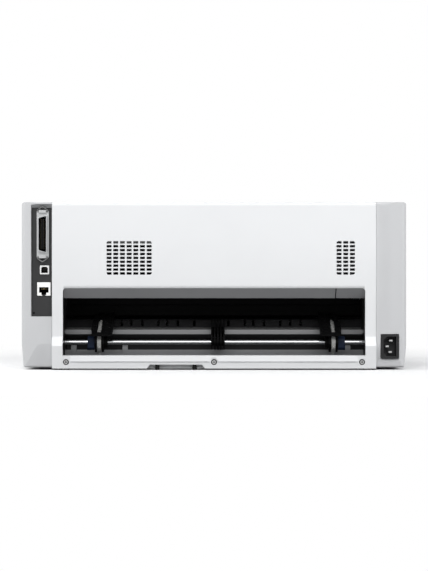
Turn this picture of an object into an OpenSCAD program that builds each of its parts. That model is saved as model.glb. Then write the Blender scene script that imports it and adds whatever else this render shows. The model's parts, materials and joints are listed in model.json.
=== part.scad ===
// Serial dot matrix printer for continuous forms, with its rear push tractor open to view.
// Frame: +X to the right seen from the front, +Y to the rear, +Z up, origin on the floor under the middle.

/* [Housing] */
// Width over the two side caps
body_w = 492; // [480:1:540]
// Depth from the front face to the rear cover
body_d = 350; // [330:1:390]
// Height of the top deck above the floor
body_h = 215; // [205:1:235]
// Wall of the moulded housings
wall = 2.5; // [2:0.1:3]
// Gap between neighbouring housings
seam = 0.4; // [0.2:0.1:0.8]
// Height of the rubber feet below the housings
foot_h = 3; // [2:0.5:4]
// Width of a side cap
cap_w = 39.35; // [38:0.05:42]
// How far the rear cover stands out behind the caps
cover_step = 8; // [7:0.5:10]

/* [Rear opening] */
// Width of the rear cover on each side of the paper opening
jamb_w = 13.75; // [12:0.25:18]
// Height of the sill of the paper opening
sill_z = 18.5; // [17:0.5:20]
// Height of the head of the paper opening
lintel_z = 104; // [102:0.5:108]
// Corner radius of the paper opening
opening_r = 4; // [2:0.5:6]

/* [Vents] */
// Width of one vent slot
slot_w = 6.3; // [5.5:0.1:7]
// Height of one vent slot
slot_h = 3.1; // [2.4:0.1:3.3]
// Slot to slot distance across
slot_pitch_x = 8.5; // [8:0.1:9]
// Slot to slot distance upwards
slot_pitch_z = 4.94; // [4.5:0.01:5.5]

/* [Tractor feed] */
// Diameter of the round tractor shaft
round_shaft_d = 6; // [5:0.5:7]
// Width across the flats of the square tractor shaft
square_shaft_w = 6; // [5:0.5:6.5]
// Distance between the two tractor shafts
shaft_spacing = 34.5; // [33:0.5:36]
// Slope of the tractors towards the platen
tractor_tilt = 21; // [18:0.5:24]
// Number of pins on each tractor belt
belt_pins = 12; // [12:1:12]
// Distance between the pins of the paper
pin_pitch = 12.7; // [12.6:0.05:12.8]
// From the belt of the tractor on the ports side to its side frame
tractor_a_in = 47.8; // [44:0.1:60]
// From the belt of the tractor on the power side to its side frame
tractor_b_in = 41.9; // [40:0.1:60]

/* [Print mechanism] */
// Diameter of the platen roller
platen_d = 32; // [30:0.5:32]
// From the end of the platen's rubber sleeve to the side frame
platen_in = 31; // [26:1:40]
// From the side of the rear cover to the inside of the steel side frame
frame_in = 10.25; // [9.5:0.25:11]
// Diameter of the carriage shaft
carriage_shaft_d = 12; // [10:0.5:12]
// Gear module
gear_m = 1; // [1:0.05:1]
// Teeth of the platen gear
platen_teeth = 36; // [36:1:36]
// Teeth of the idler gear
idler_teeth = 60; // [60:1:60]
// Teeth of the gear on the square shaft
shaft_teeth = 30; // [30:1:30]
// Width of the gears
gear_w = 6; // [5:0.5:7]

/* [Running fits] */
// Radial clearance of shafts in their bores
fit = 0.08; // [0.05:0.01:0.1]
// Clearance between pieces that pass each other
clear = 0.5; // [0.3:0.1:0.6]
// Gap between a piece and the seat it lies on
seat_gap = 0.3; // [0.3:0.05:0.4]

/* [Hidden] */
$fn = 48;

half_w = body_w / 2;
rear_y = body_d / 2;
front_y = -body_d / 2;
cap_x = half_w - cap_w;
cover_w = 2 * (cap_x - seam);
opening_w = cover_w - 2 * jamb_w;
cap_rear_y = rear_y - cover_step;
base_z = foot_h;
waist_z = 33;
waist_in = 3;
deck_z = body_h;
cap_top_z = deck_z - 1;

// ---- small vector and outline tools ----
function unit(v) = v / norm(v);
function xy(p) = [p.x, p.y];
function turn(a, b) = a.x * b.y - a.y * b.x;

// One corner of an outline, rounded to radius r with n steps
function corner(a, b, c, r, n) =
    r <= 0 ? [b] :
    let (
        u = unit(a - b),
        v = unit(c - b),
        half = acos(u * v) / 2,
        centre = b + unit(u + v) * r / sin(half),
        start = b + u * r / tan(half) - centre,
        finish = b + v * r / tan(half) - centre,
        from = atan2(start.y, start.x),
        sweep = (atan2(finish.y, finish.x) - from + 540) % 360 - 180
    )
    [for (i = [0:n]) centre + r * [cos(from + sweep * i / n), sin(from + sweep * i / n)]];

// An outline whose points are [x, y, corner radius]
function rounded(points, n = 6) =
    let (m = len(points))
    [for (i = [0:m - 1])
        each corner(xy(points[(i + m - 1) % m]), xy(points[i]), xy(points[(i + 1) % m]), points[i][2], n)];

// The same outline moved inwards by d; points run anticlockwise
function inset(points, d) =
    let (m = len(points))
    [for (i = [0:m - 1])
        let (
            u = unit(xy(points[i]) - xy(points[(i + m - 1) % m])),
            v = unit(xy(points[(i + 1) % m]) - xy(points[i])),
            nu = [-u.y, u.x],
            nv = [-v.y, v.x],
            p = xy(points[i]) + (nu + nv) * d / (1 + nu * nv),
            r = points[i][2]
        )
        [p.x, p.y, r == 0 ? 0 : turn(u, v) > 0 ? max(r - d, 0) : r + d]];

function rect(x0, y0, x1, y1, r = 0) = [[x0, y0, r], [x1, y0, r], [x1, y1, r], [x0, y1, r]];
function mirrored(points) = [for (i = [len(points) - 1:-1:0]) [-points[i].x, points[i].y, points[i][2]]];

// Extrusions of outlines drawn in (y, z), (x, z) and (x, y)
module along_x(x0, x1, points)
    translate([x0, 0, 0]) rotate([90, 0, 90]) linear_extrude(x1 - x0) polygon(points);
module along_y(y0, y1, points)
    translate([0, y1, 0]) rotate([90, 0, 0]) linear_extrude(y1 - y0) polygon(points);
module along_z(z0, z1, points) translate([0, 0, z0]) linear_extrude(z1 - z0) polygon(points);
module box(a, b) translate(a) cube(b - a);
module rod(x0, x1, y, z, d) translate([x0, y, z]) rotate([0, 90, 0]) cylinder(h = x1 - x0, d = d);
module post_y(x, y0, y1, z, d) translate([x, y1, z]) rotate([90, 0, 0]) cylinder(h = y1 - y0, d = d);
module on_side(side) if (side > 0) children(); else mirror([1, 0, 0]) children();

// ---- outer form of the housings: side, plan and rear outlines ----
slope_foot = [front_y, deck_z - 117];
slope_head = [front_y + 138, cap_top_z];
side_outline = [
    [front_y + 5, base_z, 3], [cap_rear_y - 4, base_z, 3], [cap_rear_y, waist_z, 3],
    [cap_rear_y, cap_top_z, 3], [slope_head.x, slope_head.y, 70], [slope_foot.x, slope_foot.y, 28],
    [front_y, waist_z, 3]
];
plan_outline = [
    [-half_w, front_y, 34], [half_w, front_y, 34], [half_w, cap_rear_y - 5, 8], [cap_x + 18, cap_rear_y, 30],
    [-cap_x - 18, cap_rear_y, 30], [-half_w, cap_rear_y - 5, 8]
];
rear_outline = [
    [-half_w + waist_in, base_z, 3], [half_w - waist_in, base_z, 3], [half_w, waist_z, 4],
    [half_w, cap_top_z, 4], [-half_w, cap_top_z, 4], [-half_w, waist_z, 4]
];
module envelope(d) intersection() {
    along_x(-half_w - 1, half_w + 1, rounded(inset(side_outline, d)));
    along_z(0, deck_z + 1, rounded(inset(plan_outline, d)));
    along_y(front_y - 1, rear_y + 1, rounded(inset(rear_outline, d), 4));
}
module shell_between(x0, x1, d = wall) difference() {
    intersection() {
        envelope(0);
        box([x0, front_y - 1, 0], [x1, rear_y, deck_z]);
    }
    envelope(d);
}

// ---- rear cover: leaning upper face, ledge at the waist, hollow sill with a notch ----
cover_half = cover_w / 2;
cover_foot_z = 1.6;
cover_top_z = deck_z - 1.5;
split_y = rear_y - 35;
ledge_z = waist_z - 2;
ledge_h = 11;
ledge_in = 6.5;
foot_in = 3.5;
belly_in = 3.5;
belly_z = deck_z * 0.6;
sill_depth = 18;
sill_lip_r = 8;
notch_x = [15.5, 81.5];
notch_top_z = 6.9;
notch_flare = 4.5;
notch_wall_y = rear_y - 11.5;
notch_wall_t = 1.6;
screw_x = [17.95 - cover_half, 0, cover_half - 17.95];
screw_z = 10.2;
screw_head_d = 6;
screw_ring = 0.8;
screw_depth = 2.2;
vent_z = lintel_z + 0.353 * (cover_top_z - lintel_z);
vent_a = [cover_half - 98.25, 7];
vent_b = [38.65 - cover_half, 3];
vent_rows = 9;
vent_corner_r = 2.2;

function face_y(z) = rear_y - foot_in * (ledge_z - z) / (ledge_z - cover_foot_z);
function upper_y(z) =
    rear_y - ledge_in + (ledge_in - belly_in) * (z - ledge_z - ledge_h) / (belly_z - ledge_z - ledge_h);
function cover_outline(front, foot) = [
    [front, foot, 0], [face_y(foot), foot, 1], [rear_y, ledge_z, 2.5],
    [rear_y - ledge_in, ledge_z + ledge_h, 4],
    [rear_y - belly_in, belly_z, 1500], [rear_y - belly_in - 1.5, cover_top_z, 4], [front, cover_top_z, 0]
];
function sill_outline(foot) = [
    [rear_y - sill_depth, foot, 0], [face_y(foot), foot, 1], [face_y(sill_z), sill_z, sill_lip_r],
    [rear_y - sill_depth, sill_z, 2]
];
function opening_outline() = let (w = opening_w / 2, low = sill_z - 1) [
    [-w, low, 0], [w, low, 0], [w, lintel_z, opening_r], [-w, lintel_z, opening_r]
];
// Soft roll of the cover over the head of the opening
head_roll = [wall - 0.3, 6];
module head_roll_cut() {
    face = upper_y(lintel_z + head_roll.y);
    w = opening_w / 2 - 1;
    along_x(-w, w, concat(
        [[face + 2, lintel_z - 1], [face + 2, lintel_z + head_roll.y]],
        [for (a = [0:15:90]) [face - head_roll.x * (1 - cos(a)), lintel_z + head_roll.y * (1 - sin(a))]],
        [[face - head_roll.x, lintel_z - 1]]
    ));
}
module vent(centre_x, columns) for (i = [0:columns - 1], j = [0:vent_rows - 1]) {
    x = centre_x + (i - (columns - 1) / 2) * slot_pitch_x;
    z = vent_z + (j - (vent_rows - 1) / 2) * slot_pitch_z;
    left = i == 0;
    right = i == columns - 1;
    low = j == 0;
    high = j == vent_rows - 1;
    along_y(rear_y - 20, rear_y + 1, rounded([
        [x - slot_w / 2, z - slot_h / 2, left && low ? vent_corner_r : 0],
        [x + slot_w / 2, z - slot_h / 2, right && low ? vent_corner_r : 0],
        [x + slot_w / 2, z + slot_h / 2, right && high ? vent_corner_r : 0],
        [x - slot_w / 2, z + slot_h / 2, left && high ? vent_corner_r : 0]
    ], 3));
}
module rear_cover() color([0.93, 0.93, 0.94]) difference() {
    union() {
        difference() {
            along_x(-cover_half, cover_half, rounded(cover_outline(split_y, cover_foot_z)));
            along_x(-cover_half + wall, cover_half - wall,
                rounded(inset(cover_outline(split_y - 20, cover_foot_z - 20), wall)));
            along_y(rear_y - 21, rear_y + 1, rounded(opening_outline()));
            head_roll_cut();
        }
        difference() {
            along_x(-cover_half + wall, cover_half - wall, rounded(sill_outline(cover_foot_z)));
            along_x(-cover_half, cover_half, rounded(inset(sill_outline(cover_foot_z - 20), wall)));
        }
        for (x = screw_x) post_y(x, rear_y - sill_depth + 1, face_y(screw_z) - 1.5, screw_z, 11);
        box([notch_x[0] - notch_flare - 4, notch_wall_y - notch_wall_t, cover_foot_z],
            [notch_x[1] + notch_flare + 4, notch_wall_y, sill_z - 1]);
    }
    vent(vent_a[0], vent_a[1]);
    vent(vent_b[0], vent_b[1]);
    for (x = screw_x) {
        post_y(x, face_y(screw_z) - screw_depth, rear_y + 1, screw_z, screw_head_d + 2 * screw_ring);
        post_y(x, rear_y - sill_depth - 1, rear_y, screw_z, 3.4);
    }
    along_y(notch_wall_y, rear_y + 1, [
        [notch_x[0] - notch_flare, cover_foot_z - 0.5], [notch_x[1] + notch_flare, cover_foot_z - 0.5],
        [notch_x[1], notch_top_z], [notch_x[0], notch_top_z]
    ]);
}
module rear_screws() color([0.55, 0.56, 0.58]) for (x = screw_x) difference() {
    union() {
        post_y(x, face_y(screw_z) - screw_depth, face_y(screw_z), screw_z, screw_head_d);
        post_y(x, rear_y - sill_depth - 3, face_y(screw_z) - screw_depth, screw_z, 3.2);
    }
    for (size = [[4.2, 1.1], [1.1, 4.2]])
        box([x - size.x / 2, face_y(screw_z) - 1.2, screw_z - size.y / 2],
            [x + size.x / 2, rear_y, screw_z + size.y / 2]);
}

// ---- end caps ----
recess_x = [cap_x, half_w - 12.6];
recess_z = [68, deck_z - 8.2];
ceiling_rise = 5.4;
recess_depth = 9;
recess_wall = 1.6;
plate_t = 1.2;
plate_y = cap_rear_y - recess_depth;
inlet_x = 21.8 - half_w;
inlet_z = 29.9;
inlet_size = [23.3, 31.1];
module port_side_cap() color([0.86, 0.86, 0.88]) difference() {
    union() {
        shell_between(cap_x, half_w + 1);
        intersection() {
            envelope(0);
            box([cap_x, plate_y - plate_t - 1, recess_z[0] - recess_wall],
                [recess_x[1] + recess_wall, rear_y, recess_z[1] + ceiling_rise + recess_wall]);
        }
    }
    box([cap_x - 1, plate_y - plate_t - 2, recess_z[0]], [recess_x[1], rear_y, recess_z[1]]);
    along_x(cap_x - 1, recess_x[1], [
        [plate_y, recess_z[1] - 0.1], [cap_rear_y + 1, recess_z[1] - 0.1],
        [cap_rear_y + 1, recess_z[1] + ceiling_rise]
    ]);
}
module power_side_cap() color([0.86, 0.86, 0.88]) difference() {
    shell_between(-half_w - 1, -cap_x);
    box([inlet_x - inlet_size.x / 2 - 0.2, cap_rear_y - 12, inlet_z - inlet_size.y / 2 - 0.2],
        [inlet_x + inlet_size.x / 2 + 0.2, rear_y, inlet_z + inlet_size.y / 2 + 0.2]);
}

// ---- base tray, feet and the posts seen under the notch ----
tray_half = cover_half - 0.3;
tray_rear_y = rear_y - sill_depth - 3.5;
tray_front_y = front_y + 10;
tray_floor_z = base_z + wall;
tray_wall_z = 25.5;
dam_y = rear_y - 77;
dam_z = 23.2;
dam_half = cover_half - frame_in - seat_gap;
rib_x = [cover_half - 22.25, 116.7, 30.85 - cover_half];
module base_tray() color([0.8, 0.81, 0.82]) {
    difference() {
        box([-tray_half, tray_front_y, base_z], [tray_half, tray_rear_y, tray_wall_z]);
        box([-tray_half + wall, tray_front_y + wall, tray_floor_z],
            [tray_half - wall, tray_rear_y - wall, tray_wall_z + 1]);
        box([-tray_half - 1, dam_y + 20, sill_z - 2], [tray_half + 1, tray_rear_y + 1, tray_wall_z + 1]);
        for (s = [-1, 1]) translate([s * (cover_half - wall - seat_gap + 5), split_y + 10, 0])
            cube([10, 22, 2 * tray_wall_z + 2], center = true);
    }
    box([-dam_half, dam_y - 3, base_z + 1], [dam_half, dam_y, dam_z]);
    for (x = rib_x) along_x(x - 3.5, x + 3.5, [
        [dam_y - 4, base_z + 1], [dam_y + 1.5, base_z + 1], [dam_y + 1.5, dam_z + 4], [dam_y - 4, dam_z + 6]
    ]);
}
post_x = [24.8, 72.3];
post_d = 5.6;
foot_x = cover_half - 16.75;
module feet_and_posts() color([0.12, 0.12, 0.13]) {
    for (s = [-1, 1]) box([s * foot_x - 3.3, tray_rear_y - 16, 0], [s * foot_x + 3.3, tray_rear_y - 2, base_z]);
    box([foot_x + 5.5, tray_rear_y - 16, 0], [foot_x + 9.5, tray_rear_y - 2, base_z]);
    box([89, tray_rear_y - 12, 0], [124, tray_rear_y - 4, base_z]);
    for (x = [-1, 1]) translate([x * (tray_half - 25), tray_front_y + 18, 0]) cylinder(h = base_z, d = 18);
    for (x = post_x) translate([x, notch_wall_y + seat_gap + post_d / 2, 0])
        cylinder(h = notch_top_z + 2, d = post_d);
}

// ---- top deck with the tray of the sheet guide ----
deck_front_y = rear_y - 143;
guide_half = cover_half - 38.25;
guide_y = [deck_front_y + 12, split_y - 8];
guide_pit_z = deck_z - 12;
hinge_r = 1.5;
ear_x = cover_half - 9.05;
ear_t = 3;
guide_axis = [guide_y[0] + 4, deck_z - 3];
module top_deck() color([0.93, 0.93, 0.94]) difference() {
    union() {
        box([-cover_half, deck_front_y, deck_z - wall], [cover_half, split_y - seam, deck_z]);
        box([-guide_half - 1 - wall, guide_y[0] - wall - 1, guide_pit_z - wall],
            [guide_half + 1 + wall, guide_y[1] + wall + 1, deck_z]);
        along_x(-cover_half, cover_half, [
            [deck_front_y, deck_z - 1], [deck_front_y + 2, deck_z - 38], [deck_front_y + 2 + wall, deck_z - 38],
            [deck_front_y + wall, deck_z - 1]
        ]);
        for (x = [-1, 1]) box([x * cover_half - (x > 0 ? wall : 0), deck_front_y, deck_z - 14],
            [x * cover_half + (x < 0 ? wall : 0), split_y - seam, deck_z - 1]);
        for (x = [-ear_x - ear_t, ear_x]) {
            rod(x, x + ear_t, cover_axis.x, cover_axis.y, 2 * ear_r);
            along_x(x, x + ear_t, [
                [cover_axis.x, cover_axis.y - ear_r], [deck_front_y + 1, cover_axis.y - 8],
                [deck_front_y + 1, cover_axis.y + 1], [cover_axis.x + 2, cover_axis.y + 1]
            ]);
        }
    }
    box([-guide_half - 1, guide_y[0] - 1, guide_pit_z], [guide_half + 1, guide_y[1] + 1, deck_z + 1]);
    rod(-guide_half - wall, guide_half + wall, guide_axis.x, guide_axis.y, 2 * (hinge_r + fit));
    rod(-ear_x - ear_t - 1, ear_x + ear_t + 1, cover_axis.x, cover_axis.y, 2 * (hinge_r + fit));
}

// ---- front case, its control panel and keys ----
slope_angle = atan2(slope_head.y - slope_foot.y, slope_head.x - slope_foot.x);
front_split_y = front_y + 50;
function slope_z(y) = slope_foot.y + (y - slope_foot.x) * tan(slope_angle);
panel_x = cover_half - 94.25;
panel_size = [150, 34];
panel_mid_y = front_y + 32;
key_size = [16, 8];
key_gap = 0.35;
key_travel = 0.8;
key_x = [-52, -26, 0, 26];
module on_slope(x, along = 0) translate([x, panel_mid_y, slope_z(panel_mid_y)])
    rotate([slope_angle, 0, 0]) translate([0, along, 0]) children();
module plate(size, z0, z1, r = 2)
    along_z(z0, z1, rounded(rect(-size.x / 2, -size.y / 2, size.x / 2, size.y / 2, r), 4));
switch_x = 56.25 - cover_half;
switch_z = 52;
switch_size = [12, 20];
switch_axis_y = front_y + 7;
module front_case() color([0.9, 0.9, 0.91]) difference() {
    union() {
        difference() {
            shell_between(-cover_half, cover_half);
            box([-half_w, front_split_y, -1], [half_w, rear_y + 1, deck_z + 1]);
            box([-half_w, front_y + 9, -1], [half_w, rear_y, 60]);
        }
        for (x = [switch_x - switch_size.x / 2 - 2.6, switch_x + switch_size.x / 2 + 2.6])
            box([x - 1.4, front_y + wall - 0.5, switch_z - 6], [x + 1.4, switch_axis_y + 5, switch_z + 6]);
    }
    on_slope(panel_x) plate(panel_size, -wall - 1, 2);
    box([switch_x - switch_size.x / 2 - 0.4, front_y - 1, switch_z - switch_size.y / 2 - 0.4],
        [switch_x + switch_size.x / 2 + 0.4, front_y + wall + 1, switch_z + switch_size.y / 2 + 0.4]);
    rod(switch_x - 12, switch_x + 12, switch_axis_y, switch_z, 2 * (hinge_r + fit));
}
module power_switch() color([0.1, 0.1, 0.11]) {
    w = switch_size.x / 2;
    h = switch_size.y / 2;
    along_x(switch_x - switch_size.x / 2, switch_x + switch_size.x / 2, rounded([
        [front_y + 0.3, switch_z - h + 1.2, 0.6], [front_y + 6, switch_z - h + 2, 0],
        [front_y + 11, switch_z - 4, 1], [front_y + 11, switch_z + 4, 1], [front_y + 6, switch_z + h - 2, 0],
        [front_y + 2.2, switch_z + h - 1.2, 0.6], [front_y + 2, switch_z, 20]
    ], 4));
    rod(switch_x - w - 3.6, switch_x + w + 3.6, switch_axis_y, switch_z, 2 * hinge_r);
}
module control_panel() color([0.16, 0.17, 0.19]) difference() {
    on_slope(panel_x) {
        plate(panel_size - [0.4, 0.4], -wall - 0.2, 0.3);
        plate(panel_size + [8, 8], -wall - 1.5, -wall - 0.1, 3);
    }
    for (x = key_x) on_slope(panel_x + x, -6) plate(key_size + [2 * key_gap, 2 * key_gap], -wall - 2, 1, 1.5);
    on_slope(panel_x + 54, 0) plate([26, 16], -wall - 2, 1, 1);
}
module panel_key(index) color([0.72, 0.73, 0.75]) on_slope(panel_x + key_x[index], -6) {
    plate(key_size, -wall - 1.5, 1.4, 1.5);
    plate(key_size + [3, 3], -wall - 3.2, -wall - 1.5, 1.5);
}

// ---- ports on the recessed plate ----
parallel_pos = [recess_x[1] - 14.4, recess_z[1] - 33.65];
parallel_flange = [15.5, 60.9];
usb_pos = [recess_x[1] - 16.7, parallel_pos.y - 45.65];
usb_size = [11.8, 11.2];
network_pos = [recess_x[1] - 15.9, usb_pos.y - 24.4];
network_size = [17, 17];
port_out = 2;
latch_arm = 8.6;
latch_half = 6.7;
latch_leg = 2.8;
latch_wire = 1;
latch_y = plate_y + 3.3;
latch_reach = parallel_flange.y / 2 - 1.5;
latch_z = [parallel_pos.y - latch_reach, parallel_pos.y + latch_reach];
latch_lean = 36;
function frame_at(p, s, r = 0) = rect(p.x - s.x / 2, p.y - s.y / 2, p.x + s.x / 2, p.y + s.y / 2, r);
function d_shape(p, grow) = [
    [p.x - 4.8 - grow, p.y - 23.2 - grow, 1], [p.x + 4.8 + grow, p.y - 20.6 - grow, 2],
    [p.x + 4.8 + grow, p.y + 20.6 + grow, 2], [p.x - 4.8 - grow, p.y + 23.2 + grow, 1]
];
function house(p, w, h, cut) = [
    [p.x - w / 2, p.y - h / 2, 0.4], [p.x + w / 2, p.y - h / 2, 0.4],
    [p.x + w / 2, p.y + h / 2 - cut, 0], [p.x + w / 2 - cut, p.y + h / 2, 0],
    [p.x - w / 2 + cut, p.y + h / 2, 0], [p.x - w / 2, p.y + h / 2 - cut, 0]
];
module interface_plate() color([0.3, 0.3, 0.31]) difference() {
    union() {
        box([recess_x[0] + 0.3, plate_y - plate_t - 1, recess_z[0] + 0.2],
            [recess_x[1] - 0.2, plate_y, recess_z[1] - 0.2]);
        box([recess_x[0] + 0.3, plate_y - plate_t - 2.2, recess_z[0] - recess_wall],
            [recess_x[1] + recess_wall, plate_y - plate_t - 1, recess_z[1] + recess_wall]);
    }
    along_y(plate_y - 5, plate_y + 1, rounded(d_shape(parallel_pos, 1.6)));
    along_y(plate_y - 5, plate_y + 1, rounded(frame_at(usb_pos, usb_size + [0.2, 0.2])));
    along_y(plate_y - 5, plate_y + 1, rounded(frame_at(network_pos, network_size + [0.2, 0.2])));
}
module parallel_shell() color([0.7, 0.71, 0.72]) difference() {
    union() {
        along_y(plate_y, plate_y + 1.2, rounded(frame_at(parallel_pos, parallel_flange, 2)));
        along_y(plate_y - 8, plate_y + 7, rounded(d_shape(parallel_pos, 1)));
        for (z = latch_z) box([parallel_pos.x - latch_half + 2, plate_y, z - 1.8],
            [parallel_pos.x + latch_half - 2, plate_y + 4.8, z + 1.8]);
    }
    along_y(plate_y - 9, plate_y + 8, rounded(d_shape(parallel_pos, 0)));
    for (z = latch_z)
        rod(parallel_pos.x - latch_half, parallel_pos.x + latch_half, latch_y, z, latch_wire + 2 * fit);
}
module bail() {
    w = latch_half;
    t = latch_wire;
    along_y(-t / 2, t / 2, [
        [-w, -t / 2], [-w + t, -t / 2], [-w + t, latch_leg], [0, latch_arm - 1.5], [w - t, latch_leg],
        [w - t, -t / 2], [w, -t / 2], [w, latch_leg + 0.4], [0.7, latch_arm], [-0.7, latch_arm],
        [-w, latch_leg + 0.4]
    ]);
    for (s = [-1, 1]) rod(s < 0 ? -w + t / 2 : w - 3, s < 0 ? -w + 3 : w - t / 2, 0, 0, t);
}
module parallel_latch(s) color([0.75, 0.76, 0.77])
    translate([parallel_pos.x, latch_y, parallel_pos.y + s * latch_reach])
    rotate([s > 0 ? -latch_lean : latch_lean - 180, 0, 0]) bail();
module usb_shell() color([0.72, 0.73, 0.74]) difference() {
    along_y(plate_y - 14, plate_y + port_out, rounded(frame_at(usb_pos, usb_size, 1)));
    along_y(plate_y - 12, plate_y + port_out + 1, rounded(house(usb_pos, 8.4, 7.8, 1.6)));
}
module network_jack() color([0.82, 0.82, 0.82]) difference() {
    along_y(plate_y - 14, plate_y + port_out, rounded(frame_at(network_pos, network_size, 0.6)));
    along_y(plate_y - 12, plate_y + port_out + 1, rounded(frame_at(network_pos - [0, 1.2], [12, 7])));
    along_y(plate_y - 12, plate_y + port_out + 1, rounded(frame_at(network_pos - [0, 5.9], [6.2, 3.2])));
    along_y(plate_y - 12, plate_y + port_out + 1, rounded(frame_at(network_pos - [0, 6.9], [4, 3.2])));
}
module port_insulators() color([0.1, 0.1, 0.1]) {
    along_y(plate_y - 8, plate_y - 5, rounded(d_shape(parallel_pos, -0.1)));
    box([parallel_pos.x - 1.8, plate_y - 6, parallel_pos.y - 19],
        [parallel_pos.x + 1.8, plate_y + 5.5, parallel_pos.y + 19]);
    box([usb_pos.x - 2.8, plate_y - 12, usb_pos.y - 1.6], [usb_pos.x + 2.8, plate_y + 0.5, usb_pos.y + 1.6]);
    for (i = [0:7]) box([network_pos.x + (i - 3.5) * 1.02 - 0.25, plate_y - 12, network_pos.y + 0.6],
        [network_pos.x + (i - 3.5) * 1.02 + 0.25, plate_y - 2, network_pos.y + 2]);
}
inlet_face_y = cap_rear_y + 0.3;
pin_spots = [[-1.6, 7.4], [3.1, 0], [-0.7, -7.2]];
module power_inlet() color([0.21, 0.21, 0.21]) difference() {
    along_y(inlet_face_y - 26, inlet_face_y, rounded(frame_at([inlet_x, inlet_z], inlet_size, 2)));
    along_y(inlet_face_y - 16, inlet_face_y + 1, [
        [inlet_x - 8, inlet_z - 12.6], [inlet_x + 3.6, inlet_z - 12.6], [inlet_x + 8, inlet_z - 8.2],
        [inlet_x + 8, inlet_z + 8.2], [inlet_x + 3.6, inlet_z + 12.6], [inlet_x - 8, inlet_z + 12.6]
    ]);
}
module inlet_pins() color([0.75, 0.75, 0.74]) for (p = pin_spots)
    box([inlet_x + p.x - 2, inlet_face_y - 16, inlet_z + p.y - 1],
        [inlet_x + p.x + 2, inlet_face_y - 4, inlet_z + p.y + 1]);

// ---- places of the axes (y, z) ----
rear_shaft_at = [rear_y - 47, 34.3];
front_shaft_at = rear_shaft_at + shaft_spacing * [-cos(tractor_tilt), sin(tractor_tilt)];
platen_at = [rear_y - 163, 81];
carriage_at = [platen_at.x - 67, 60];
rail_y = carriage_at.x - 41;
pinion_teeth = 14;
platen_reach = gear_m * (platen_teeth + idler_teeth) / 2;
shaft_reach = gear_m * (shaft_teeth + idler_teeth) / 2;
span = front_shaft_at - platen_at;
along = (platen_reach * platen_reach - shaft_reach * shaft_reach + span * span) / (2 * norm(span));
aside = sqrt(platen_reach * platen_reach - along * along);
idler_at = platen_at + along * unit(span) + aside * [-unit(span).y, unit(span).x];
pinion_angle = 59.8;
motor_at = idler_at + gear_m * (idler_teeth + pinion_teeth) / 2 * [cos(pinion_angle), sin(pinion_angle)];
frame_x = cover_half - frame_in;
frame_t = 1.6;
journal_d = 8;
motor_d = 32;
boss_d = 9;
gear_x = frame_x + frame_t + 1;
path_half = frame_x - seat_gap;
platen_half = frame_x - platen_in;

// ---- steel side frames ----
module frame_sheet(side) difference() {
    along_x(side > 0 ? frame_x : -frame_x - frame_t, side > 0 ? frame_x + frame_t : -frame_x, rounded([
        [rail_y - 2, tray_floor_z, 3], [rear_shaft_at.x + 11, tray_floor_z, 3],
        [rear_shaft_at.x + 12, rear_shaft_at.y + 9, 6],
        [front_shaft_at.x + 16, front_shaft_at.y + 14, 8], [motor_at.x + 20, motor_at.y, 8],
        [motor_at.x + 16, motor_at.y + 20, 10], [carriage_at.x - 5, 126, 10],
        [rail_y - 2, 96, 10]
    ]));
    rod(-half_w, half_w, rear_shaft_at.x, rear_shaft_at.y, round_shaft_d + 2 * fit);
    rod(-half_w, half_w, front_shaft_at.x, front_shaft_at.y, round_shaft_d + 2 * fit);
    rod(-half_w, half_w, platen_at.x, platen_at.y, journal_d + 2 * fit);
    rod(-half_w, half_w, carriage_at.x, carriage_at.y, carriage_shaft_d + 2 * fit);
    if (side < 0) rod(-half_w, half_w, motor_at.x, motor_at.y, boss_d + 2 * fit);
}
module side_frame_ports() color([0.62, 0.63, 0.64]) frame_sheet(1);
module side_frame_power() color([0.62, 0.63, 0.64]) {
    frame_sheet(-1);
    rod(-gear_x - gear_w - 1, -frame_x, idler_at.x, idler_at.y, 8);
    rod(-gear_x - gear_w - 2, -gear_x - gear_w - 0.5, idler_at.x, idler_at.y, 11);
}

// ---- paper path ----
seam_x = 51.25 - cover_half;
liner_half = opening_w / 2 + 0.5;
module hood_liner() color([0.45, 0.45, 0.46]) {
    y = rear_y - 7;
    section = [
        [y, lintel_z - 0.5], [y, lintel_z + 9], [y - 2.2, lintel_z + 9], [y - 2.2, lintel_z + 1.2],
        [y - 18, lintel_z - 11.1], [y - 16, lintel_z - 12.7]
    ];
    along_x(seam_x, liner_half, section);
    along_x(-liner_half, seam_x - 1.4, section);
}
chute_y = rear_y - 115;
chute_front = platen_at.x + 21;
module upper_chute() color([0.09, 0.09, 0.1]) {
    along_x(-path_half, path_half, rounded([
        [chute_front, 66.2, 0], [chute_y, 66.2, 3], [chute_y, 112, 0], [chute_y - 2, 112, 0],
        [chute_y - 2, 68.2, 1], [chute_front, 68.2, 0]
    ]));
    rod(-path_half, path_half, chute_y - 0.4, 81.3, 2.2);
}
guide_y0 = rear_y - 102;
skirt_z = 20;
guide_z = [52.2, 62.5];
slot_x = [122.3, 109.6, 95, 73.7, 62, 47.9, 26, -19, -40.9, -52, -66.3, -87.9, -101, -115];
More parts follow.
